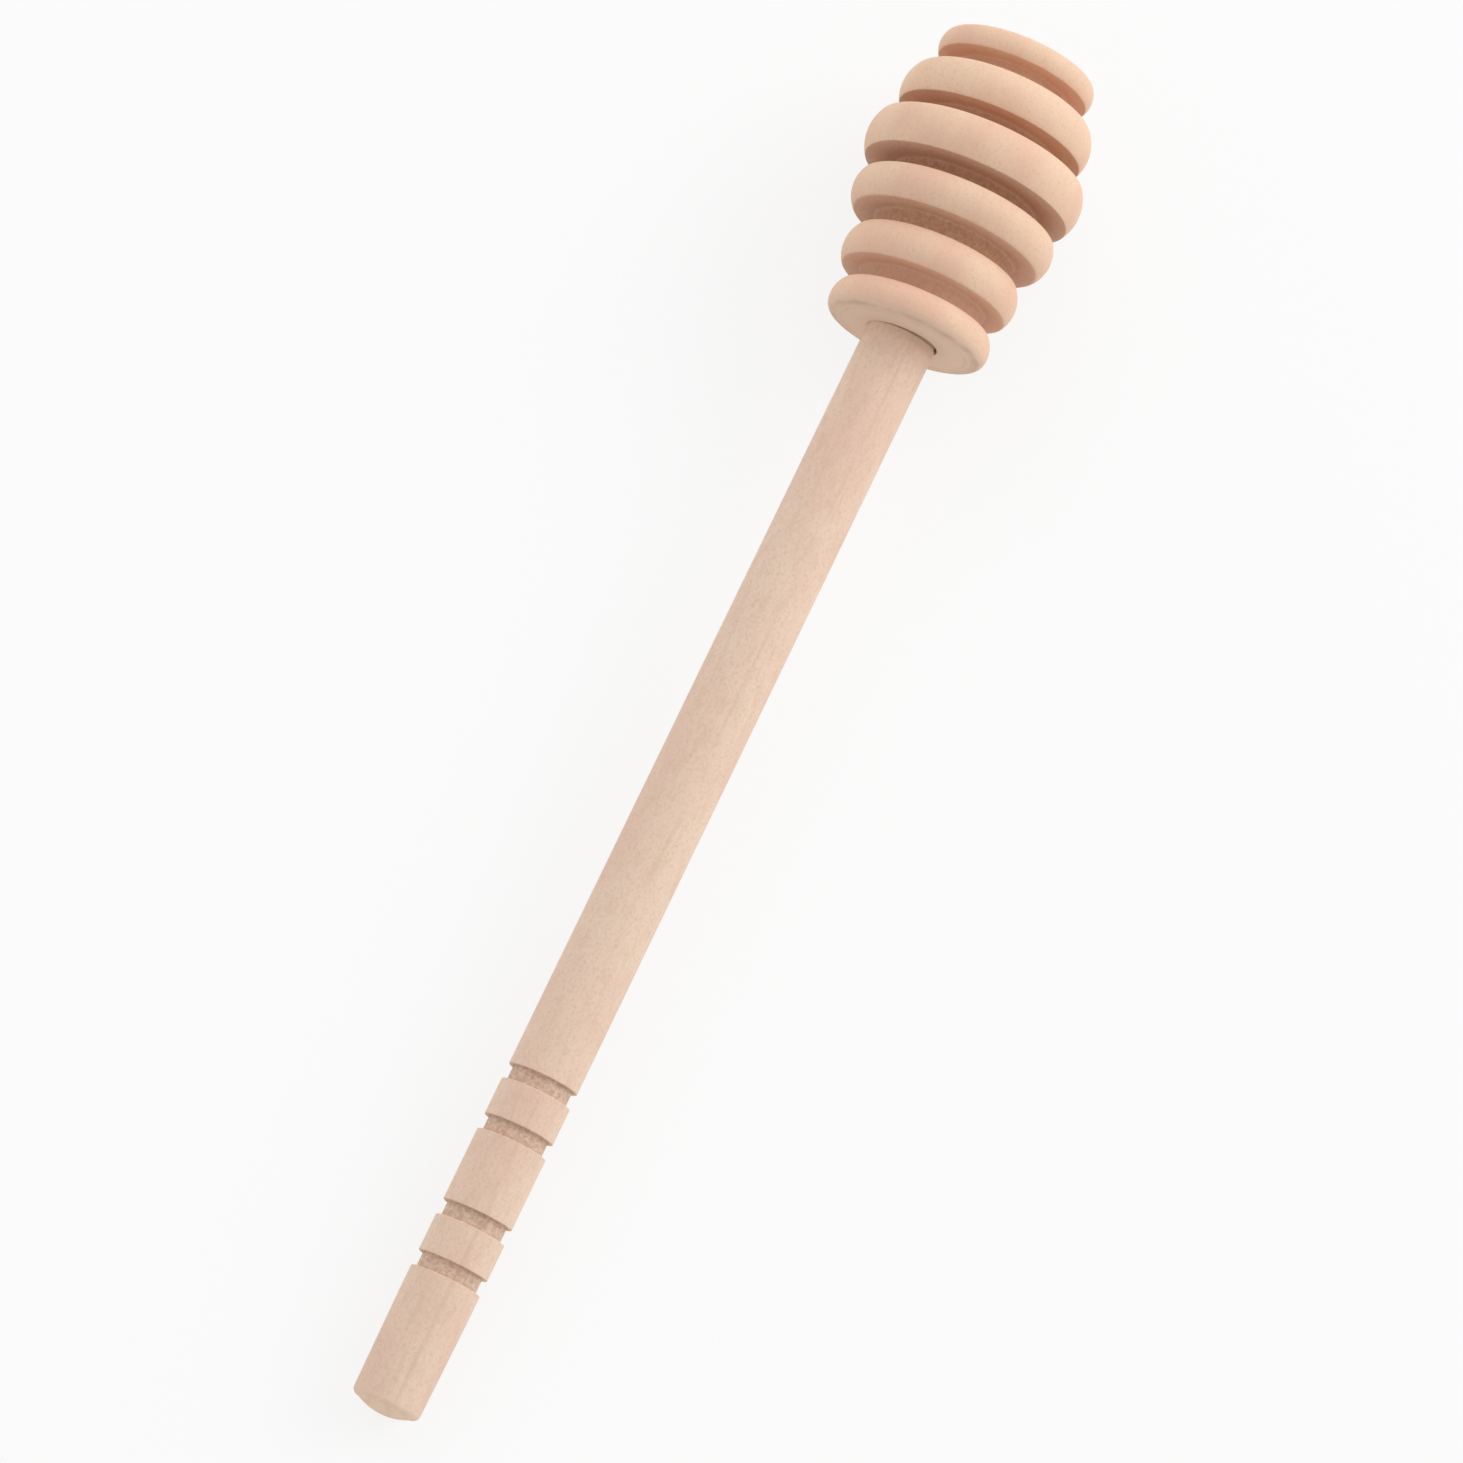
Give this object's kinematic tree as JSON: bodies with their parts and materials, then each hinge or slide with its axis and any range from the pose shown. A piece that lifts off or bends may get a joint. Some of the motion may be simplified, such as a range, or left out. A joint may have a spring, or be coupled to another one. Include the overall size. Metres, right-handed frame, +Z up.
{
  "type": "honey dipper",
  "caption": "Wooden honey dipper: a turned beehive head with deep grooves between rounded rings, glued onto a slim plain dowel handle with shallow bands cut near its free end.",
  "frame": {"origin": "on the table that the dipper lies on, under the middle of its box", "axes": "+X from the free end of the handle to the tip of the head, +Z up off the table"},
  "size_m": [0.1652, 0.0252, 0.0253],
  "materials": {
    "head_wood": "fine sanded, bare, matt",
    "handle_wood": "fine sanded, bare, matt",
    "glue": "dried wood glue, cloudy"
  },
  "bodies": {
    "root": {"dipper_head": "head_wood", "handle": "handle_wood", "joint_glue": "glue"}
  },
  "joints": []
}
